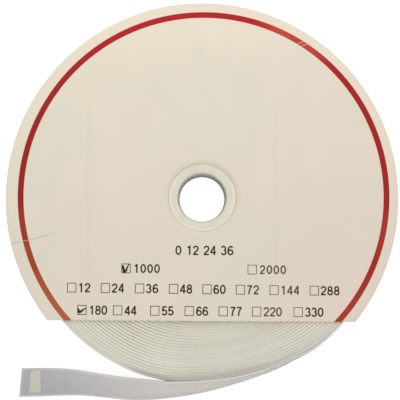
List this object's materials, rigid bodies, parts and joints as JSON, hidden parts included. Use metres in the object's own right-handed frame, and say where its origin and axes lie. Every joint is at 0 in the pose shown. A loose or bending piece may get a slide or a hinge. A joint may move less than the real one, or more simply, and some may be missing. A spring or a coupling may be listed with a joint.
{
  "type": "hook tape roll",
  "caption": "Roll of white hook fastener tape wound on a card-flanged spool with an ivory bore collar, its free end twisting out to lie flat beside the roll.",
  "frame": {"origin": "on the spool's axis, in the plane of the rear card's outer face, which the roll lies on", "axes": "+Z along the bore from the rear card to the printed front card; +Y away from the card's straight cut; the tape leaves on the -Y side towards -X"},
  "size_m": [0.262, 0.2736, 0.0222],
  "materials": {
    "collar_plastic": "satin",
    "printed_card": "matte",
    "plain_card": "matte",
    "tape_web": "matte",
    "tape_hooks": "matte",
    "tab_paper": "matte",
    "pad_foam": "matte"
  },
  "bodies": {
    "spool": {"core_drum": "collar_plastic", "front_collar": "collar_plastic", "rear_collar": "collar_plastic", "tape_pack": "tape_web", "outer_wrap": "tape_hooks", "start_pad": "pad_foam"},
    "front_flange": {"front_card": "printed_card"},
    "rear_flange": {"rear_card": "plain_card"},
    "tail": {"tape_tail": "tape_hooks", "end_tab": "tab_paper"}
  },
  "joints": [
    {"name": "front_card_turn", "type": "hinge", "parent": "spool", "child": "front_flange", "pos_m": [0, 0, 0.0206], "axis": [0, 0, 1], "continuous": true},
    {"name": "rear_card_turn", "type": "hinge", "parent": "spool", "child": "rear_flange", "pos_m": [0, 0, 0.0016], "axis": [0, 0, 1], "continuous": true},
    {"name": "tail_swing", "type": "hinge", "parent": "spool", "child": "tail", "pos_m": [-0.002, -0.138, 0.0008], "axis": [0, 0, 1], "range_deg": [-8, 25]}
  ]
}
